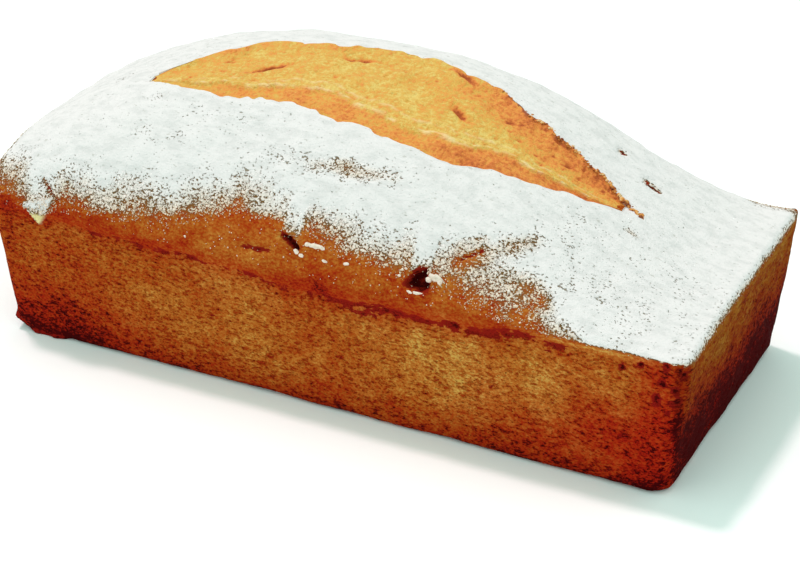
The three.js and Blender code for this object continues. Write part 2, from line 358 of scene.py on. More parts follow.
crease = np.maximum(crease, front_face * short_fold)

# Baked pits: flat hollows where bubbles met the tin, on the walls and on the front only below the crease.
above_crease = smooth((z - crease_z + 0.4) / 1.4)
band = front_face * above_crease
below_rim = smooth((WALL_HEIGHT - 1 - z) / 2)
pitted = np.where(front_face > 0, mix(below_rim, 1 - above_crease, front_face), below_rim)
pits = hollows(skin * (1, 1, 1.9), 3.6, 0.42, 31, 0.75) * pitted * smooth((z - 1.5) / 3)

# Burst bubbles: where each one is on the front, its half sizes, its tilt and how deep it goes.
BUBBLES = (((36.5, 55.2), (3.7, 3.6), 0.2, 4.6), ((-8.2, 58.0), (4.4, 1.3), -0.5, 2.6))
bubbles = np.zeros(len(skin))
bubble_rims = np.zeros(len(skin))
bubble_shade = np.zeros(len(skin))
on_front = y < -40
for (at_x, at_z), (long, short), tilt, deep in BUBBLES:
    u, v = turned(x - at_x, z - at_z, tilt)
    around = np.arctan2(v, u)
    reach = np.hypot(u / long, v / short) * (1 + 0.13 * np.sin(3 * around + 1) + 0.08 * np.sin(5 * around))
    bubbles += on_front * deep * (1 - smooth((reach - 0.6) / 0.4))
    bubble_rims += on_front * 0.4 * hill(reach - 1.15, 0.16)
    # Painted shade: each bubble's pocket is darkened towards near black.
    bubble_shade += on_front * held(1.9 - 1.4 * reach)

# Small deep holes by the right front corner, and the nick at its foot: where each one is and its reach.
CORNER_HOLES = (
    ((115.3, -53.6, 35), 2.0), ((122, -52.4, 34.5), 2.3), ((118, -53.9, 46.8), 1.6),
    ((123.3, -51.8, 44), 1.8), ((117, -53.6, 40.5), 1.4), ((121, -52.8, 39), 1.6),
    ((110, -53.9, 45), 1.4), ((118, -51, 0.5), 1.6), ((104, -53.9, 43), 1.2),
    ((122.6, -52, 29), 1.3), ((119, -53, 30.5), 1.1), ((123, -51.5, 22), 1.2),
)
holes = sum(hill(length(skin - at), reach) for at, reach in CORNER_HOLES)

# A three-cornered flap of crust folded down over the front edge near the left corner, and two fine cracks:
# one runs up from the flap and one crosses the shoulder by the big bubble. All points are in x and z.
FLAP_LEFT, FLAP_RIGHT, FLAP_TIP = (-109.5, 50.5), (-96, 55), (-103, 43.8)
FLAP_STANDS_OUT = 1.35
FLAP_CRACK = (-95.6, 54.8), (-102.8, 60.9)
SHOULDER_CRACK = (46.5, 62.1), (53.9, 65.1)


def right_of(a, b):
    """How far each point of the front lies to the right of the line from a to b, in x and z."""
    along = np.subtract(b, a) / np.hypot(*np.subtract(b, a))
    return (x - a[0]) * along[1] - (z - a[1]) * along[0]


in_flap = np.minimum(right_of(FLAP_TIP, FLAP_LEFT), right_of(FLAP_RIGHT, FLAP_TIP))
flap = front_face * smooth(in_flap / 0.9) * (1 - smooth((z - 52.5 - 0.33 * (x + 103)) / 2.5))
crack = front_face * hill(right_of(*FLAP_CRACK), 0.5) * smooth((z - 54) / 1.5) * smooth((62 - z) / 3)
across_shoulder = hill(right_of(*SHOULDER_CRACK), 0.55) * smooth((x - 46) / 2) * smooth((55 - x) / 2)
crack = np.maximum(crack, (y < -36) * across_shoulder)
crease = np.maximum(crease, crack)

dome_part = smooth((z - WALL_HEIGHT) / 6)


def unevenness(points, on_dome):
    """How far the crust swells or sinks: broad, middling and small lumps, with more of the middling ones on
    the dome."""
    middling = mix(0.1, 0.42, on_dome) * lumps(points, 7.5, 2)
    return 0.35 * lumps(points, 15, 1) + middling + 0.14 * lumps(points, 3.1, 3)


# Every swelling and hollow moves the skin straight out or in. Near the left corner a burnt tab stands out
# of the wall, and batter that ran out of the tin lies burnt along the foot.
PIT_DEPTH, HOLE_DEPTH = 0.42, 1.1
TAB_AT, TAB_REACH, TAB_STANDS_OUT = (-118, -50.5, 4.6), 1.7, 1.6
BURNT_FOOT_LEFT, BURNT_FOOT_RIGHT, BURNT_FOOT_Y = -114, -96.5, -53.1

tab = hill(length(skin - TAB_AT), TAB_REACH)
push = (
    unevenness(skin, dome_part) - PIT_DEPTH * pits - CREASE_DEPTH * crease
    + BAND_STANDS_OUT * band * (1 - dome_part) * crease_share - bubbles + bubble_rims
    - HOLE_DEPTH * np.minimum(holes, 1) + FLAP_STANDS_OUT * flap + TAB_STANDS_OUT * tab
)
on_base = z < 0.01
push[on_base] = 0
skin = skin + skin_out * push[:, None]
burnt_foot = smooth((x - BURNT_FOOT_LEFT) / 2) * smooth((BURNT_FOOT_RIGHT - x) / 4)
burnt_foot = burnt_foot * (1 - smooth((z - 1.2) / 1.4)) * (y < -40) * mix(0.75, 1, lumps(skin, 2.5, 5))
run_out = np.minimum(skin[:, 1], mix(skin[:, 1], BURNT_FOOT_Y, burnt_foot))
skin[:, 1] = np.where(burnt_foot > 0, run_out, skin[:, 1])
skin[:, 2] = np.where(on_base, 0, np.maximum(skin[:, 2], 0.02))
top = skin[top_index]

# How thick the icing sugar fell: 0 is bare crust and 1 is fully covered. It thins out down the front
# shoulder from a dense edge to a last few grains, and it is thin over a few rough places.
steps = length(np.diff(top, axis=1))
from_front = np.hstack((np.zeros((COLUMNS, 1)), np.cumsum(steps, axis=1)))
from_back = from_front[:, -1:] - from_front
column = top[..., 0]
sugar_low = (
    3.4 - 5.6 * smooth((column - 38) / 40) + 11.5 * hill(column + 19, 26) + 2.0 * hill(column - 22, 18)
    - 7 * hill(column + 104, 7)
)
sugar_ramp = 21 - 6 * hill(column + 14, 18) + 7 * hill(column - 57, 14)
sugar_ramp = sugar_ramp * (1 - smooth((column - 66) / 32)) + 1.0
up_front = held((from_front - sugar_low) / sugar_ramp)
cover = np.minimum(up_front, held((from_back - 1) / 9)) ** 0.85
cover = cover * (1 - 0.15 * smooth((column - 55) / 20) * smooth((52 - from_front) / 15))
cover = np.minimum(cover, held((column + HALF_LENGTH - 0.3) / 5) ** 0.7)
cover = np.minimum(cover, held((HALF_LENGTH - column) / 3 + 0.45))
cover = cover * (1 - smooth((bubble_shade[top_index] - 0.3) / 0.3)) * (1 - smooth(crack[top_index] * 1.5))

# Thin places: where each one is in plan, its half sizes, its turn and how much sugar is missing there.
THIN_PLACES = (
    ((8, -35), (15, 2.8), 0.05, 0.6), ((2, -33), (8, 2), 0.3, 0.25), ((63, -37), (11, 3.2), 0.65, 0.62),
    ((51, -40.5), (5, 1.1), 0.5, 0.4), ((50, -45), (7, 2.5), 0.4, 0.5), ((75, -49), (4.5, 3), 0.3, 0.48),
    ((68, -46), (10, 4), 0.2, 0.25), ((85, 19.3), (2.4, 1.2), 0.3, 0.95), ((97, 13), (4, 2.2), -0.4, 0.25),
    ((71.5, 26.4), (1.4, 0.9), 0.3, 0.7), ((89, -8.5), (3, 1.4), -0.2, 0.5), ((-98, -7), (5, 2.5), 0.2, 0.3),
    ((-114, -49), (9, 4), 0.0, 0.3), ((-48, -28), (24, 5), 0.12, 0.17), ((-66, -37), (14, 4), 0.1, 0.15),
    ((-20, -36), (16, 3.5), 0.1, 0.2), ((-75, -25), (8, 2), 0.3, 0.18), ((-90, -36), (8, 3), 0.2, 0.12),
)
for at, half_sizes, turn, missing in THIN_PLACES:
    cover = cover * (1 - missing * oval_hill(column, top[..., 1], at, half_sizes, turn))
ragged = 0.13 * lumps(top, 8, 41) + 0.1 * lumps(top, 3.3, 42)
cover = held(cover + ragged * smooth(cover * 4) * smooth((1.06 - cover) * 5))
front_lip, back_lip, split_open, _ = split_lips(grid_x)
in_split = (np.minimum(row_y - front_lip, back_lip - row_y) > 0.2) & (split_open > 0.1)
dust = np.zeros(len(skin))
rim_cover = ring_of(cover)
past_rim = (edge_z - wall_z) / mix(1.2, 3.2, edge_a > 0.99)
dust[top_index.size:top_index.size + wall_z.size] = (0.75 * rim_cover * (1 - smooth(past_rim))).reshape(-1)
dust[top_index] = np.where(in_split, 0, cover)

# Little gaps in the sugar where the crust shows through, painted near black as the shade in them: where each
# one is in plan and its half sizes.
SHADED_GAPS = (((85, 19.3), (2.3, 1.1)), ((71.5, 26.4), (1.2, 0.8)), ((82.5, 20.8), (1.1, 0.6)))
shaded_gaps = np.zeros(len(skin))
for at, (long, short) in SHADED_GAPS:
    away = np.hypot((skin[:, 0] - at[0]) / long, (skin[:, 1] - at[1]) / short)
    shaded_gaps = np.maximum(shaded_gaps, held(1.5 - away) * (skin[:, 2] > WALL_HEIGHT))
cover = cover * (1 - smooth(shaded_gaps[top_index] / 0.4))

# How dark each place baked, from 0 for pale gold to 1 for the darkest red-brown: golden brown on the walls,
# paler along the rim by the right end, and darker at the foot and the lower corners. The right end is darker
# too, most of all low down: partly a darker bake and partly painted shade on the end away from the key lamp.
x, y, z = skin.T
right_end = smooth((x - 119) / 3)
right_corner = smooth((x - 104) / 12) * smooth((-48 - y) / 4)
low_left = oval_hill(x, z, (-106, 9), (36, 18))
low_right = oval_hill(x, z, (104, 13), (30, 15))
by_crease = front_face * hill(z - crease_z - 1, 4)
golden_middle = smooth((x + 5) / 25) * smooth((104 - x) / 20) * hill(z - 28, 15)
rim_strip = hill(z - 47.6, 1.5) * smooth((x - 70) / 12) * (1 - 0.75 * right_end)
toast_and_end_shade = (
    0.45 + 0.34 * np.exp(-z / 3.0) + 0.13 * smooth((16 - z) / 14) + 0.18 * low_left + 0.22 * low_right
    + 0.09 * smooth((-60 - x) / 20) - 0.36 * rim_strip + 0.2 * right_corner
    # The right_end term is partly a darker bake and partly painted shade on the end away from the key lamp.
    + right_end * (0.13 + 0.6 * held((39 - z) / 34)) + 0.08 * band + 0.1 * by_crease
    - 0.14 * golden_middle + 0.06 * lumps(skin, 24, 51) + 0.1 * lumps(skin, 9, 52)
)
toast_and_end_shade = np.where(dust > 0.02, mix(toast_and_end_shade, 0.5, 0.6), toast_and_end_shade)

# How dark the burnt places and the painted shade are: near 1 is near black. The crease and the pits are only
# made darker than the wall around them.
big_pits = hollows(skin, 3.4, 0.4, 33, 0.5) * smooth((x - 98) / 14) * smooth((z - 22) / 12)
big_pits = big_pits * (z < 47) * (x < 124)
# The tab, the burnt foot and the very foot are burnt; the bubble pockets, the corner holes and the sugar gaps
# get painted shade.
char_and_shade = np.maximum.reduce((
    1.25 * bubble_shade, 1.25 * shaded_gaps, burnt_foot, np.minimum(1.3 * tab, 1),
    1.1 * np.minimum(1.2 * holes, 1), 0.73 * np.minimum(1.5 * crease, 1), 0.46 * pits, 0.75 * big_pits,
    0.45 * np.exp(-z / 0.8),
))
dust = np.where(np.maximum(bubble_shade, shaded_gaps) > 0.45, 0, dust)
dust = np.maximum(dust, 0.8 * flap * smooth((z - 47.5) / 3))

# The flap's pale underside, painted shade that dulls the upper part of the right end, and where the crust
# baked redder.
pale_skin = np.minimum(flap * 1.2, 1) * smooth((51 - z) / 3)
painted_end_shade = right_end * smooth((z - 10) / 24)
ruddy = (
    0.5 * low_left + 0.95 * low_right + 0.7 * right_corner + 0.4 * np.exp(-z / 6)
    + 0.5 * by_crease * smooth((84 - x) / 14) + 0.2 * lumps(skin, 12, 53)
)
ruddy = held(ruddy) * (1 - np.minimum(flap * 1.5, 1))


def connect(socket, value):
    """Puts a value on a socket, or links another socket to it."""
    if isinstance(value, bpy.types.NodeSocket):
        socket.id_data.links.new(value, socket)
    else:
        socket.default_value = value


def add_node(tree, kind, settings=None, **inputs):
    """Adds a shader node. Its inputs are given by name, each as a value or as the socket that feeds it."""
    made = tree.nodes.new("ShaderNode" + kind)
    for key, value in (settings or {}).items():
        setattr(made, key, value)
    for key, value in inputs.items():
        connect(made.inputs[key.replace("_", " ")], value)
    return made


def maths(operation, a, b):
    """The result of a Math node on two values, in the tree that the first comes from."""
    made = add_node(a.id_data, "Math", {"operation": operation})
    connect(made.inputs[0], a)
    connect(made.inputs[1], b)
    return made.outputs[0]


def plus(total, *others):
    """The sum of two or more values."""
    for other in others:
        total = maths("ADD", total, other)
    return total


def times(a, b):
    """The product of two values."""
    return maths("MULTIPLY", a, b)


def between(value, low, high, new_low=0.0, new_high=1.0):
    """Spreads values from low to high smoothly over a new range, and keeps to that range outside it."""
    made = add_node(value.id_data, "MapRange", {"interpolation_type": "SMOOTHSTEP"}, Value=value,
                    From_Min=low, From_Max=high, To_Min=new_low, To_Max=new_high)
    return made.outputs["Result"]


def swing(value, amount, low=0.3, high=0.7):
    """A value spread from low to high, as a swing of up to half this amount either way."""
    return times(maths("SUBTRACT", between(value, low, high), 0.5), amount)


def noise(here, swings, detail=2.0, roughness=0.5, stretch=None):
    """Soft noise from 0 to 1 with about this many swings to the metre, fewer along a stretched axis."""
    tree = here.id_data
    if stretch:
        here = add_node(tree, "Mapping", None, Vector=here, Scale=stretch).outputs["Vector"]
    made = add_node(tree, "TexNoise", None, Vector=here, Scale=swings, Detail=detail, Roughness=roughness)
    return made.outputs["Fac"]


def colour_mix(share, a, b, blend="MIX"):
    """Mixes two colours by a share from 0 to 1."""
    made = add_node(share.id_data, "Mix", {"data_type": "RGBA", "blend_type": blend})
    for number, value in ((0, share), (6, a), (7, b)):
        connect(made.inputs[number], value)
    return made.outputs[2]


def ramp(value, stops):
    """A colour that runs through these stops as the value goes from 0 to 1."""
    made = add_node(value.id_data, "ValToRGB", None, Fac=value)
    elements = made.color_ramp.elements
    while len(elements) < len(stops):
        elements.new(0.5)
    for element, (at, colour) in zip(elements, stops):
        element.position = at
        element.color = colour
    return made.outputs["Color"]


def carried(tree, name):
    """The value that the mesh carries at each point under this name."""
    return add_node(tree, "Attribute", {"attribute_name": name}).outputs["Fac"]


def new_group(name, inputs, outputs):
    """An empty shader node group with named sockets, and its two end nodes."""
    tree = bpy.data.node_groups.new(name, "ShaderNodeTree")
    for way, sockets in (("INPUT", inputs), ("OUTPUT", outputs)):
        for key, kind in sockets.items():
            tree.interface.new_socket(key, in_out=way, socket_type="NodeSocket" + kind)
    return tree, tree.nodes.new("NodeGroupInput"), tree.nodes.new("NodeGroupOutput")


def new_material(name, roughness, specular):
    """A material with one Principled shader, its tree, and the piece's own coordinates."""
    material = bpy.data.materials.new(name)
    material.use_nodes = True
    tree = material.node_tree
    shader = tree.nodes["Principled BSDF"]
    shader.inputs["Roughness"].default_value = roughness
    shader.inputs["Specular IOR Level"].default_value = specular
    return material, tree, shader, tree.nodes.new("ShaderNodeTexCoord").outputs["Object"]


def finish_surface(shader, colour, height, metres, strength=1.0):
    """Gives a shader its colour, and a relief of so many metres from a height."""
    connect(shader.inputs["Base Color"], colour)
    bump = add_node(shader.id_data, "Bump", None, Height=height, Distance=metres, Strength=strength)
    connect(shader.inputs["Normal"], bump.outputs["Normal"])


# Powder: grains of sugar that lie closer together and whiter as the cover goes from 0 to 1, wherever a noise
# is over a level that falls. Gaps show the surface where it is thin, painted shadow between the grains
# further in and painted grey shade where it is thick, and long shallow dimples are painted greyer as shade.
THIN_SUGAR, THICK_SUGAR = (0.84, 0.63, 0.45, 1), (0.785, 0.722, 0.72, 1)
DIMPLE_SHADE, SPECK_GREY = (0.20, 0.24, 0.22, 1), (0.30, 0.28, 0.22, 1)
DIMPLE_SHADE_SHARE, SPECK_SHARE = 0.17, 0.36
THIN_GAP_SHADOW, THICK_GAP_SHADE = (0.165, 0.085, 0.030, 1), (0.46, 0.43, 0.37, 1)
SPARSE_LEVEL, DENSE_LEVEL = 0.68, 0.275

powder, powder_in, powder_out = new_group(
    "powder",
    {"Coordinates": "Vector", "Cover": "Float", "Under": "Color"},
    {"Color": "Color", "Height": "Float"},
)
powder_at, powder_cover = powder_in.outputs["Coordinates"], powder_in.outputs["Cover"]
fine = noise(powder_at, 1400.0, 1.0, stretch=(0.75, 1, 1))
clumps = noise(powder_at, 430.0, 2.0, 0.6, stretch=(0.55, 1, 1))
dimples = noise(powder_at, 330.0, 3.0, 0.65, stretch=(0.5, 1, 1))
specks = noise(powder_at, 1000.0, 1.0, stretch=(0.5, 1, 1))
level = add_node(powder, "MapRange", None, Value=powder_cover, To_Min=SPARSE_LEVEL, To_Max=DENSE_LEVEL)
over_level = plus(times(fine, 0.72), times(clumps, 0.28))
over_level = maths("SUBTRACT", over_level, level.outputs["Result"])
grains = times(between(over_level, -0.05, 0.05), between(powder_cover, 0.01, 0.08))
white = colour_mix(between(powder_cover, 0.1, 0.75), THIN_SUGAR, THICK_SUGAR)
# Painted shade in the dimples.
white = colour_mix(between(dimples, 0.4, 0.7, 0.0, DIMPLE_SHADE_SHARE), white, DIMPLE_SHADE)
white = colour_mix(between(specks, 0.67, 0.76, 0.0, SPECK_SHARE), white, SPECK_GREY)
# Painted shadow between the grains, turning to painted grey shade where the sugar is thick.
gap_shadow = colour_mix(between(powder_cover, 0.55, 0.98), THIN_GAP_SHADOW, THICK_GAP_SHADE)
gap = colour_mix(between(powder_cover, 0.06, 0.5), powder_in.outputs["Under"], gap_shadow)
connect(powder_out.inputs["Color"], colour_mix(grains, gap, white))
relief = plus(times(grains, 0.8), times(dimples, -1.2), times(fine, 0.7))
connect(powder_out.inputs["Height"], relief)


def dusted(tree, here, cover, under):
    """The colour and height of powder over a surface, from the cover that the mesh carries by this name."""
    made = add_node(tree, "Group", {"node_tree": powder}, Coordinates=here, Cover=carried(tree, cover),
                    Under=under)
    return made.outputs["Color"], made.outputs["Height"]


# Baked pits: small dark dashes that lie along the wall, where fine bubbles met the tin, in cells of two
# sizes: how many there are to the metre, and how far a dash reaches in its cell.
PIT_CELLS = ((360.0, 0.34), (640.0, 0.33))
PIT_WAVER = (0.0011, 0.0011, 0.0007)

baked_pits, pits_in, pits_out = new_group(
    "baked_pits", {"Coordinates": "Vector", "Amount": "Float"}, {"Pits": "Float", "Height": "Float"})
pits_at = pits_in.outputs["Coordinates"]
waver = add_node(baked_pits, "TexNoise", None, Vector=pits_at, Scale=500.0, Detail=1.0)
wavering = add_node(baked_pits, "VectorMath", {"operation": "MULTIPLY_ADD"})
for socket, value in zip(wavering.inputs, (waver.outputs["Color"], PIT_WAVER, pits_at)):
    connect(socket, value)
flattened = add_node(baked_pits, "Mapping", None, Vector=wavering.outputs[0], Scale=(1, 1, 2.1))
dashes = []
for cells_to_metre, reach in PIT_CELLS:
    cells = add_node(baked_pits, "TexVoronoi", None, Vector=flattened.outputs["Vector"], Scale=cells_to_metre)
    inside_dash = maths("SUBTRACT", times(cells.outputs["Color"], reach), cells.outputs["Distance"])
    dashes.append(between(inside_dash, -0.1, 0.12))
dashes = times(maths("MAXIMUM", *dashes), pits_in.outputs["Amount"])
connect(pits_out.inputs["Pits"], dashes)
connect(pits_out.inputs["Height"], times(dashes, -1.0))

# The crust: a ramp from gold to maroon by how dark it baked, with painted shade on the right end, unsettled
# by noise of four sizes, with charred spots and near-black painted shade in pockets, holes and sugar gaps,
# the flap's cream, and sugar dust over all of it.
GOLD, TAN, BROWN = (0.58, 0.32, 0.070, 1), (0.47, 0.150, 0.023, 1), (0.385, 0.084, 0.0098, 1)
RUSSET, RED_BROWN = (0.355, 0.047, 0.005, 1), (0.30, 0.017, 0.004, 1)
MAROON, SINGED_AND_SHADE, CREAM = (0.06, 0.0035, 0.003, 1), (0.24, 0.013, 0.006, 1), (0.74, 0.62, 0.30, 1)
END_SHADE_TINT, RUDDY_TINT = (0.70, 0.88, 0.72, 1), (1.06, 0.55, 0.85, 1)

crust, tree, shader, here = new_material("baked_crust", roughness=0.85, specular=0.01)
pitted_here = carried(tree, "pitted")
pits_here = add_node(tree, "Group", {"node_tree": baked_pits}, Coordinates=here, Amount=pitted_here)
blotch = noise(here, 150.0, 4.0, 0.6, stretch=(1, 1, 1.5))
dash = noise(here, 430.0, 3.0, 0.6, stretch=(1, 1, 2.0))
grain = noise(here, 980.0, 2.0, 0.6, stretch=(1, 1, 1.4))
marks = times(between(dash, 0.54, 0.68), plus(times(pitted_here, 0.17), 0.02))
bake_and_end_shade = plus(
    carried(tree, "toast_and_end_shade"), swing(noise(here, 42.0), 0.07), swing(blotch, 0.2), swing(dash, 0.12),
    swing(grain, 0.34, 0.25, 0.75), marks, times(pits_here.outputs["Pits"], 0.2),
)
crust_colour = ramp(bake_and_end_shade, (
    (0.05, GOLD), (0.28, TAN), (0.48, BROWN), (0.62, RUSSET), (0.80, RED_BROWN), (1.0, MAROON)))
# Charred places, and near-black painted shade in the bubble pockets, the corner holes and the sugar gaps.
char_and_shade_here = plus(carried(tree, "char_and_shade"), swing(blotch, 0.35), swing(dash, 0.45))
char_and_shade_colour = colour_mix(between(char_and_shade_here, 0.8, 1.1), SINGED_AND_SHADE, MAROON)
crust_colour = colour_mix(between(char_and_shade_here, 0.42, 0.58), crust_colour, char_and_shade_colour)
crust_colour = colour_mix(carried(tree, "pale"), crust_colour, CREAM)
# The right end's upper part is multiplied by a dull olive tint as painted shade; the ruddy tint is a redder
# bake.
for where, tint in (("painted_end_shade", END_SHADE_TINT), ("ruddy", RUDDY_TINT)):
    crust_colour = colour_mix(carried(tree, where), crust_colour, tint, "MULTIPLY")
dusted_colour, dust_height = dusted(tree, here, "dust", crust_colour)
relief = maths("SUBTRACT", times(grain, 0.8), times(marks, 5.0))
relief = plus(relief, pits_here.outputs["Height"], dust_height)
finish_surface(shader, dusted_colour, relief, metres=0.00045, strength=0.9)

loaf = make_piece("baked_loaf", skin, (skin_quads, skin_fan), crust, {
    "toast_and_end_shade": toast_and_end_shade, "char_and_shade": char_and_shade, "pale": pale_skin, "painted_end_shade": painted_end_shade, "ruddy": ruddy,
    "pitted": pitted, "dust": dust,
})
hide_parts("loaf")

# -------- The crumb in the split
# Where the top tore open the moist yellow inside baked to a rough golden surface, with a smoother orange band
# along the front lip. A shell of it fills the groove and runs a little way under both lips.
CRUMB_COLUMNS, CRUMB_ROWS = 320, 84
CRUMB_STEP, BACK_STAND, CRUMB_SAG, BAND_SAG = 0.4, 0.6, 1.9, 0.9
PORE_DEPTH, RIDGE_HEIGHT = 0.55, 0.35
UNDER_LIP = 0.9
CRUMB_THICKNESS = 4.0

run = np.linspace(SPLIT_LEFT[0] - 0.5, SPLIT_RIGHT[0] + 0.5, CRUMB_COLUMNS)
share = np.linspace(0, 1, CRUMB_ROWS)
front, back, opened, middle = (part[:, None] for part in split_lips(run))
crumb_x = np.broadcast_to(run[:, None], (CRUMB_COLUMNS, CRUMB_ROWS))
crumb_y = mix(np.minimum(front - UNDER_LIP, middle - 0.3), np.maximum(back + UNDER_LIP, middle + 0.3), share)
inside = np.minimum(crumb_y - front, back - crumb_y)
across = held((crumb_y - front) / np.maximum(back - front, 0.5))
crumb = np.stack((crumb_x, crumb_y, dome_height(crumb_x, crumb_y)), axis=-1)

# The tear: the wavering line where the band along the front lip ends and the torn crumb begins, as a share
# of the way across, with two thin pale ridges along it. From end to end of the split, s goes from -1 to 1.
s = 2 * (crumb_x - SPLIT_LEFT[0]) / (SPLIT_RIGHT[0] - SPLIT_LEFT[0]) - 1
tear_at = 0.24 + 0.05 * hill(s + 0.25, 0.2) - 0.06 * hill(s - 0.12, 0.22) + 0.09 * smooth((s - 0.3) / 0.25)
tear_at = tear_at + 0.012 * np.sin(crumb_x / 3.1)
past_tear = smooth((across - tear_at + 0.03) / 0.06)
second_ridge = hill(across - tear_at - 0.1 - 0.03 * s, 0.016)
ridge = np.maximum(hill(across - tear_at - 0.02, 0.018), 0.7 * second_ridge)

# Gashes in the crumb: where each one is in plan, its half sizes, its turn and its depth.
GASHES = (
    ((-44, -1), (5.5, 0.9), 0.5, 1.6), ((-17, 12.5), (4.5, 0.8), 0.2, 1.3), ((62, 3), (1.5, 0.8), 0.3, 0.9),
    ((26, -1.5), (3.6, 1.1), -0.6, 1.8), ((20, 16.5), (3.5, 1.0), -0.3, 1.5), ((56, 9), (1.6, 0.9), 0.0, 1.1),
    ((52, 20), (2.2, 1.0), 0.4, 1.2), ((40, 6), (1.3, 0.8), 0.9, 0.8), ((-60, 1), (2.2, 0.6), 0.3, 0.7),
)
gashes = sum(deep * oval_hill(crumb_x, crumb_y, at, halves, turn) for at, halves, turn, deep in GASHES)
pores = hollows(crumb, 2.4, 0.38, 61, 0.4) * mix(0.25, 1, past_tear)
sag = CRUMB_SAG * 4 * across * (1 - across) + BAND_SAG * (1 - past_tear) * smooth(across * 12)
fine_rough = 0.55 * lumps(crumb, 7, 62) + 0.32 * lumps(crumb, 2.8, 63) + 0.16 * lumps(crumb, 1.2, 64)
follow = unevenness(crumb, 1)
step = mix(CRUMB_STEP, -BACK_STAND, smooth((across - 0.8) / 0.2))
sunk = step + sag - fine_rough * smooth((inside + 0.8) / 2.5)
sunk = sunk + PORE_DEPTH * pores + gashes - RIDGE_HEIGHT * ridge
crumb[..., 2] += follow - opened * sunk - 0.3 * (1 - opened) - 0.9 * smooth(-inside / UNDER_LIP)
under = crumb - (0, 0, CRUMB_THICKNESS)
crumb_index = np.arange(crumb_x.size).reshape(crumb_x.shape)
under_index = crumb_index + crumb_x.size
rim_index = np.vstack((ring_of(under_index), ring_of(crumb_index)))
rim_index = np.hstack((rim_index, rim_index[:, :1]))
crumb_quads = np.vstack((grid_quads(crumb_index), grid_quads(under_index)[:, ::-1], grid_quads(rim_index.T)))
crumb_points = np.concatenate((crumb.reshape(-1, 3), under.reshape(-1, 3)))

# How dark the crumb baked, where it is toasted along the back lip, and the ragged pale ridges of the tear,
# which are pale crumb with a painted highlight along them.
to_right = smooth((crumb_x - 30) / 30)
band_share = (1 - past_tear) * smooth((crumb_x + 76) / 24)
baked = (
    0.22 + (0.29 + 0.17 * smooth((crumb_x - 10) / 40)) * band_share
    + 0.38 * smooth((across - 0.4) / 0.5) * smooth((crumb_x - 5) / 45)
    + 0.12 * hill(1 - across, 0.12) + 0.12 * lumps(crumb, 9, 65) + 0.1 * lumps(crumb, 3, 66)
    + 0.75 * np.minimum(gashes, 1.2) + mix(0.3, 0.6, to_right) * pores + 0.06 * smooth((crumb_x - 30) / 40)
)
by_back_lip = hill(np.maximum(back - crumb_y, 0), 1.1)
toasted_edge = by_back_lip * mix(0.2, 0.85, smooth((crumb_x - 15) / 30)) * (0.65 + 0.7 * lumps(crumb, 2, 69))
pale = ridge * smooth(0.75 + lumps(crumb, 4, 67) + 0.4 * lumps(crumb, 1.6, 68)) * smooth((1 - np.abs(s)) * 6)


def both_sides(grid):
    """The same values for the upper and the lower side of a shell."""
    return np.tile(grid.reshape(-1), 2)


YELLOW, GOLDEN_YELLOW, ORANGE = (0.76, 0.52, 0.14, 1), (0.70, 0.38, 0.070, 1), (0.77, 0.29, 0.055, 1)
DEEP_ORANGE, CARAMEL = (0.68, 0.185, 0.036, 1), (0.42, 0.085, 0.015, 1)
TOASTED, PALE_TEAR_HIGHLIGHT = (0.33, 0.075, 0.025, 1), (0.90, 0.68, 0.36, 1)

crumb_material, tree, shader, here = new_material("golden_crumb", roughness=0.6, specular=0.2)
crumb_fine = noise(here, 850.0, 2.0, 0.6)
crumb_soft = noise(here, 300.0, 4.0, 0.65)
strands = noise(here, 800.0, 2.0, 0.6, stretch=(0.25, 1, 1))
bake = plus(carried(tree, "baked"), swing(crumb_fine, 0.3), swing(crumb_soft, 0.2),
            swing(strands, 0.12, 0.35, 0.65))
crumb_colour = ramp(bake, (
    (0.0, YELLOW), (0.25, GOLDEN_YELLOW), (0.5, ORANGE), (0.72, DEEP_ORANGE), (1.0, CARAMEL)))
toasted = plus(carried(tree, "toasted"), swing(crumb_soft, 0.4), swing(crumb_fine, 0.4))
crumb_colour = colour_mix(between(toasted, 0.55, 0.8), crumb_colour, TOASTED)
# The ridges are painted pale: partly pale crumb, partly a painted highlight where each ridge catches the
# light.
pale_share = times(carried(tree, "pale"), between(strands, 0.38, 0.62, 0.0, 0.75))
crumb_colour = colour_mix(pale_share, crumb_colour, PALE_TEAR_HIGHLIGHT)
finish_surface(shader, crumb_colour, plus(crumb_fine, times(crumb_soft, 1.5)), metres=0.0006)

crumb_piece = make_piece(
    "split_crumb", crumb_points, (crumb_quads,), crumb_material,
    {"baked": both_sides(baked), "toasted": both_sides(toasted_edge), "pale": both_sides(pale)},
)
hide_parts("loaf")

# -------- The coat of icing sugar
# Sugar sieved over the top: a thin uneven layer of dry powder that follows the crust, ends raggedly at the
# split's lips and sinks into the crust where it thins out. One closed shell, about a millimetre thick.
COAT_UNDER, COAT_UNDER_LIP = 0.5, 0.1
COAT_LOW, COAT_HIGH = -0.3, 0.55
CRISP_ANGLE = np.radians(50)
UNDER_COAT = (0.22, 0.10, 0.03, 1)

skin_out = outward(skin, skin_quads)
top_out = skin_out[top_index]
coat_lumps = 0.14 * lumps(top, 1.7, 71) + 0.12 * lumps(top, 4.5, 72)
from_lip = np.where(split_open > 0.05, np.maximum(front_lip - row_y, row_y - back_lip), 99)
lip_share = smooth(from_lip / 2.5)
thickness = np.clip(1.1 * (cover - 0.5) + coat_lumps, COAT_LOW, COAT_HIGH) * mix(0.5, 1, lip_share)
coat_top = top + top_out * thickness[..., None]
coat_under = top - top_out * mix(COAT_UNDER_LIP, COAT_UNDER, lip_share)[..., None]


def cell_of(grid):
    """The value in the middle of each cell of a grid."""
    return sum(cell_corners(grid)) / 4


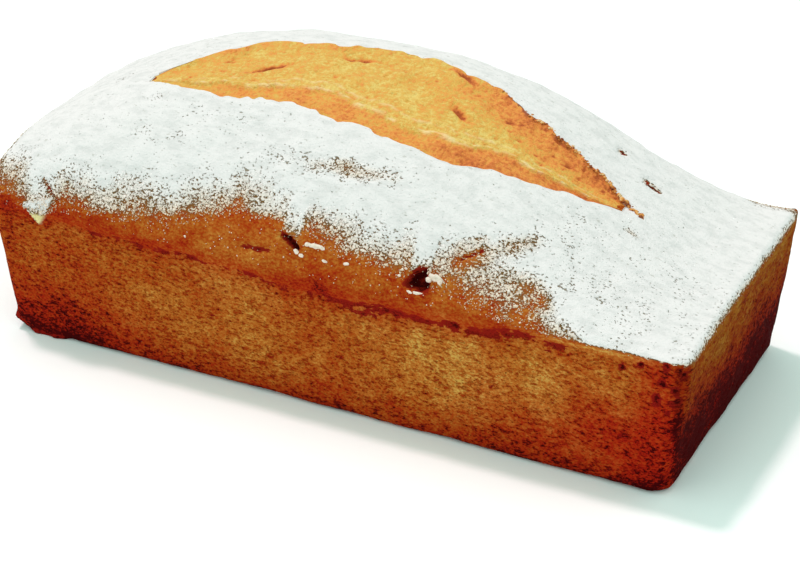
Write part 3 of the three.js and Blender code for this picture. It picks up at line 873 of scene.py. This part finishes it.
# The cells that hold sugar. Where two of them touch only at a corner a third one joins them, so that every
# edge of the shell has just two faces.
split_share = cell_of(in_split.astype(float))
kept = (cell_of(cover) > 0.25) & (split_share < 0.3)
for _ in range(6):
    slash = kept[:-1, :-1] & kept[1:, 1:] & ~kept[1:, :-1] & ~kept[:-1, 1:]
    backslash = kept[1:, :-1] & kept[:-1, 1:] & ~kept[:-1, :-1] & ~kept[1:, 1:]
    kept[1:, :-1] |= slash
    kept[:-1, :-1] |= backslash
under_index = top_index + top_index.size
coat_quads = [grid_quads(top_index)[kept.reshape(-1)], grid_quads(under_index)[kept.reshape(-1)][:, ::-1]]

# The shell's side walls: a face between the two layers along each edge between a kept cell and one not kept.
padded = np.pad(kept, 1)
a, b, c, d = cell_corners(top_index)
for beyond, start, end in (
    (padded[1:-1, :-2], a, b), (padded[1:-1, 2:], c, d), (padded[:-2, 1:-1], d, a), (padded[2:, 1:-1], b, c),
):
    edge = kept & ~beyond
    start, end = start[edge], end[edge]
    coat_quads.append(np.stack((start + top_index.size, end + top_index.size, end, start), axis=-1))
used, renumbered = np.unique(np.vstack(coat_quads), return_inverse=True)
coat_points = np.concatenate((coat_top.reshape(-1, 3), coat_under.reshape(-1, 3)))[used]

sugar, tree, shader, here = new_material("icing_sugar", roughness=0.9, specular=0.05)
finish_surface(shader, *dusted(tree, here, "cover", UNDER_COAT), metres=0.0004)
coat = make_piece("sugar_coat", coat_points, (renumbered.reshape(-1, 4),), sugar,
                  {"cover": both_sides(cover)[used]})
coat.data.set_sharp_from_angle(angle=CRISP_ANGLE)

# -------- Loose grains and flakes of sugar
# Where the sieved sugar thins out it lies as single grains and small clumped flakes on the bare crust. Every
# bit is a small closed crystal, seated on the crust: eight faces for a grain and twenty for a flake.
SEATED_AT = 0.08
OCTAHEDRON = (
    np.array(((1, 0, 0), (-1, 0, 0), (0, 1, 0), (0, -1, 0), (0, 0, 1), (0, 0, -1)), dtype=float),
    np.array(((0, 2, 4), (2, 1, 4), (1, 3, 4), (3, 0, 4), (2, 0, 5), (1, 2, 5), (3, 1, 5), (0, 3, 5))),
)
G = (1 + 5**0.5) / 2  # the golden ratio
ICOSAHEDRON = (
    np.array(((-1, G, 0), (1, G, 0), (-1, -G, 0), (1, -G, 0), (0, -1, G), (0, 1, G),
              (0, -1, -G), (0, 1, -G), (G, 0, -1), (G, 0, 1), (-G, 0, -1), (-G, 0, 1))) / (1 + G**2) ** 0.5,
    np.array(((0, 11, 5), (0, 5, 1), (0, 1, 7), (0, 7, 10), (0, 10, 11), (1, 5, 9), (5, 11, 4),
              (11, 10, 2), (10, 7, 6), (7, 1, 8), (3, 9, 4), (3, 4, 2), (3, 2, 6), (3, 6, 8),
              (3, 8, 9), (4, 9, 5), (2, 4, 11), (6, 2, 10), (8, 6, 7), (9, 8, 1))),
)
CREAMY_SHADE, CREAMY, GRAIN_WHITE = (0.62, 0.42, 0.27, 1), (0.88, 0.70, 0.56, 1), (0.85, 0.78, 0.77, 1)
rng = np.random.default_rng(7)


def strewn(likely, count):
    """Random places on the top: each is a random point in a cell of the grid, drawn by the cell's area and
    chance. Gives the places, the ways out of the crust and the cover there."""
    a, b, c, d = cell_corners(top)
    area = length(np.cross(c - a, d - b)) / 2
    weight = (area * np.where(split_share > 0.3, 0, cell_of(likely))).reshape(-1)
    drawn = rng.choice(weight.size, size=count, p=weight / weight.sum())
    i, j = np.unravel_index(drawn, area.shape)
    u, v = rng.random((2, count, 1))

    def within(grid):
        return mix(mix(grid[i, j], grid[i + 1, j], u), mix(grid[i, j + 1], grid[i + 1, j + 1], u), v)

    return within(top), within(top_out), within(cover[..., None])[:, 0]


def bits(places, out, shape, sizes, squash, jitter):
    """Copies of a small shape, each squashed along the way out, turned at random about it and knocked out of
    true. Gives all their points and faces."""
    corners, faces = shape
    count = len(places)
    side = np.cross(out, rng.normal(size=(count, 3)))
    side /= length(side)[:, None]
    axes = np.stack((side, np.cross(out, side), out), axis=1)
    local = corners * sizes[:, None, None] * (1 + jitter * rng.uniform(-1, 1, (count, len(corners), 1)))
    local = local * rng.uniform(0.7, 1.3, (count, 1, 3)) * (1, 1, squash)
    numbers = faces + (np.arange(count) * len(corners))[:, None, None]
    return (places[:, None] + local @ axes).reshape(-1, 3), numbers.reshape(-1, 3)


loose, tree, shader, here = new_material("loose_sugar", roughness=0.85, specular=0.2)
creamy = colour_mix(between(noise(here, 800.0, 2.0, 0.6), 0.3, 0.7), CREAMY_SHADE, CREAMY)
grain_colour = colour_mix(between(carried(tree, "cover"), 0.1, 0.7), creamy, GRAIN_WHITE)
finish_surface(shader, grain_colour, noise(here, 3000.0), metres=0.0001, strength=0.5)

clumpy = smooth(0.55 + 1.1 * lumps(top, 2.4, 81))
grain_chance = cover**0.9 * (1 - 0.93 * smooth((cover - 0.5) / 0.4)) * mix(0.25, 1, clumpy)
grain_chance = grain_chance + 0.012 * smooth(1 - cover)
flake_chance = smooth((cover - 0.15) / 0.25) * (1 - 0.9 * smooth((cover - 0.55) / 0.3)) * mix(0.1, 1, clumpy)
for name, likely, count, shape, sizes, squash, jitter in (
    ("sugar_grains", grain_chance, 22000, OCTAHEDRON, (0.12, 0.3), 0.8, 0.25),
    ("sugar_flakes", flake_chance, 6000, ICOSAHEDRON, (0.2, 0.5), 0.5, 0.3),
):
    places, out, own_cover = strewn(likely, count)
    own_sizes = rng.uniform(*sizes, count)
    bit_points, bit_faces = bits(places + out * SEATED_AT, out, shape, own_sizes, squash, jitter)
    make_piece(name, bit_points, (bit_faces,), loose, {"cover": np.repeat(own_cover, len(shape[0]))})

# -------- The loose crumbs
# Little knobs of toasted and pale crumb that broke off as the top tore. They are baked on along the right
# half of the split's back lip and just past its tip, where they are biggest.
CRUMB_COUNT, CRUMB_SQUASH, CRUMB_JITTER = 170, 0.7, 0.4
CRUMB_SIZES = (0.25, 0.7)
CRUMBS_FROM_X, PAST_TIP = 24, 1.5
CRUMB_SEATED_AT = 0.35
DARK_KNOB, BROWN_KNOB = (0.22, 0.05, 0.02, 1), (0.55, 0.17, 0.035, 1)
GOLDEN_KNOB, PALE_KNOB = (0.74, 0.32, 0.08, 1), (0.80, 0.52, 0.26, 1)

knob_x = mix(CRUMBS_FROM_X, SPLIT_RIGHT[0] + PAST_TIP, rng.random(CRUMB_COUNT) ** 0.55)
_, knob_y, _, knob_middle = split_lips(knob_x)
knob_y = np.maximum(knob_y, knob_middle) + rng.normal(size=CRUMB_COUNT) * 0.45 - 0.2
knobs = np.stack((knob_x, knob_y, dome_height(knob_x, knob_y)), axis=-1)
knobs[:, 2] += unevenness(knobs, 1) + CRUMB_SEATED_AT
straight_up = np.tile((0.0, 0.0, 1.0), (CRUMB_COUNT, 1))
knob_sizes = rng.uniform(*CRUMB_SIZES, CRUMB_COUNT) * mix(0.9, 1.5, smooth((knob_x - 76) / 8))
knob_points, knob_faces = bits(knobs, straight_up, ICOSAHEDRON, knob_sizes, CRUMB_SQUASH, CRUMB_JITTER)

knob_material, tree, shader, here = new_material("toasted_crumbs", roughness=0.7, specular=0.15)
tint = between(noise(here, 420.0, 2.0, 0.6), 0.35, 0.65)
knob_colour = ramp(tint, ((0.0, DARK_KNOB), (0.35, BROWN_KNOB), (0.65, GOLDEN_KNOB), (1.0, PALE_KNOB)))
finish_surface(shader, knob_colour, noise(here, 2500.0), metres=0.0002, strength=0.7)
make_piece("loose_crumbs", knob_points, (knob_faces,), knob_material)

# -------- The lumps of sugar
# A few bigger lumps of clumped sugar that stuck by the burst bubbles and along the front. Each is a ball
# stretched to its own half sizes and made lumpy, half sunk in the crust.
LUMP_THICKNESS, LUMP_LIFT, LUMP_COVER = 0.6, 0.1, 0.35
LUMPS = (  # where each one is on the front, in x and z, its half sizes and its turn
    ((41.6, 57.0), (2.4, 1.3), -0.15), ((43.6, 56.4), (1.0, 0.8), 0.3), ((39.8, 56.4), (0.9, 0.9), 0.0),
    ((37.2, 51.9), (2.6, 0.5), 0.05), ((34.8, 52.0), (0.9, 0.4), -0.3), ((0.3, 58.6), (2.6, 0.9), 0.02),
    ((-2.0, 58.4), (1.3, 0.7), 0.2), ((2.6, 58.2), (1.2, 0.7), -0.3), ((-5.7, 56.0), (1.1, 0.8), -0.6),
    ((-4.4, 55.0), (0.8, 0.6), 0.2), ((-6.6, 57.0), (0.7, 0.6), 0.0), ((3.7, 54.8), (0.9, 0.55), -0.2),
    ((12.0, 55.5), (0.9, 0.55), 0.2), ((15.8, 59.6), (0.8, 0.45), 0.0), ((29.8, 55.4), (0.6, 0.4), 0.0),
    ((31.5, 57.8), (0.5, 0.4), 0.0), ((-46.5, 53.0), (0.5, 0.4), 0.0),
)


def finer(shape):
    """The same ball with each face cut in four and every point pushed out to its surface."""
    corners, faces = shape
    sides = np.sort(np.concatenate((faces[:, [0, 1]], faces[:, [1, 2]], faces[:, [2, 0]])), axis=1)
    sides, number = np.unique(sides, axis=0, return_inverse=True)
    ab, bc, ca = number.reshape(3, -1) + len(corners)
    middles = corners[sides].sum(axis=1)
    middles /= length(middles)[:, None]
    a, b, c = faces.T
    cuts = ((a, ab, ca), (ab, b, bc), (ca, bc, c), (ab, bc, ca))
    return np.concatenate((corners, middles)), np.concatenate([np.stack(cut, axis=1) for cut in cuts])


corners, faces = finer(finer(ICOSAHEDRON))
front_skin = np.flatnonzero(skin[:, 1] < -40)
lump_points, lump_faces = [], []
for number, ((at_x, at_z), (long, high), turn) in enumerate(LUMPS):
    away = (skin[front_skin, 0] - at_x) ** 2 + (skin[front_skin, 2] - at_z) ** 2
    nearest = front_skin[np.argmin(away)]
    body = corners * (long, LUMP_THICKNESS * high, high)
    swell = 0.3 * lumps(body + 9 * number, 0.8, 91) + 0.12 * lumps(body + 9 * number, 0.35, 92)
    body_x, body_y, body_z = (body * (1 + swell)[:, None]).T
    body_x, body_z = turned(body_x, body_z, -turn)
    seat = skin[nearest] + skin_out[nearest] * LUMP_LIFT * high
    lump_points.append(np.stack((body_x, body_y, body_z), axis=-1) + seat)
    lump_faces.append(faces + number * len(corners))
make_piece("sugar_lumps", np.concatenate(lump_points), lump_faces, loose,
           {"cover": np.full(len(corners) * len(LUMPS), LUMP_COVER)})

# -------- The floor and the lights
# A plain white floor, cool even light from all round and from two big panels, and a warmer lamp high on the
# left that shades the right end.
FLOOR_SIZE, FLOOR_WHITE = 12, (0.98, 0.98, 0.98, 1)
SKY_COLOUR, SKY_STRENGTH = (0.76, 1.0, 0.92, 1), 0.9
LAMP_AWAY, LAMP_AIM_Z = 1.5, 0.04

bpy.ops.mesh.primitive_plane_add(size=FLOOR_SIZE, location=(0, 0, 0))
floor = bpy.context.object
floor.name = "floor"
floor_material, _, shader, _ = new_material("plain_floor", roughness=0.95, specular=0.0)
shader.inputs["Base Color"].default_value = FLOOR_WHITE
floor.data.materials.append(floor_material)

world = bpy.data.worlds.new("studio")
scene.world = world
world.use_nodes = True
world.node_tree.nodes["Background"].inputs["Color"].default_value = SKY_COLOUR
world.node_tree.nodes["Background"].inputs["Strength"].default_value = SKY_STRENGTH


def add_lamp(name, kind, strength, colour, toward, size):
    """A lamp whose light travels along the given direction, towards the loaf: the sun with this angle, or a
    square panel of this many metres."""
    data = bpy.data.lights.new(name, kind)
    data.energy = strength
    data.color = colour
    setattr(data, "angle" if kind == "SUN" else "size", size)
    toward = np.array(toward) / length(toward)
    side = np.cross(toward, (0.0, 1.0, 0.01))
    side /= length(side)
    place = (-LAMP_AWAY * toward + (0, 0, LAMP_AIM_Z)).tolist()
    stand(name, data, side, np.cross(-toward, side), -toward, place)


add_lamp("key_lamp", "SUN", strength=1.3, colour=(1.0, 0.74, 0.80), toward=(0.36, -0.14, -1.0), size=0.11)
add_lamp("top_panel", "AREA", strength=4.0, colour=(0.84, 1.0, 0.95), toward=(0.0, 0.05, -1.0), size=2.2)
add_lamp("front_panel", "AREA", strength=2.0, colour=(0.95, 1.0, 0.98), toward=(0.45, 1.0, -0.35), size=1.2)

scene.view_settings.view_transform = "Standard"
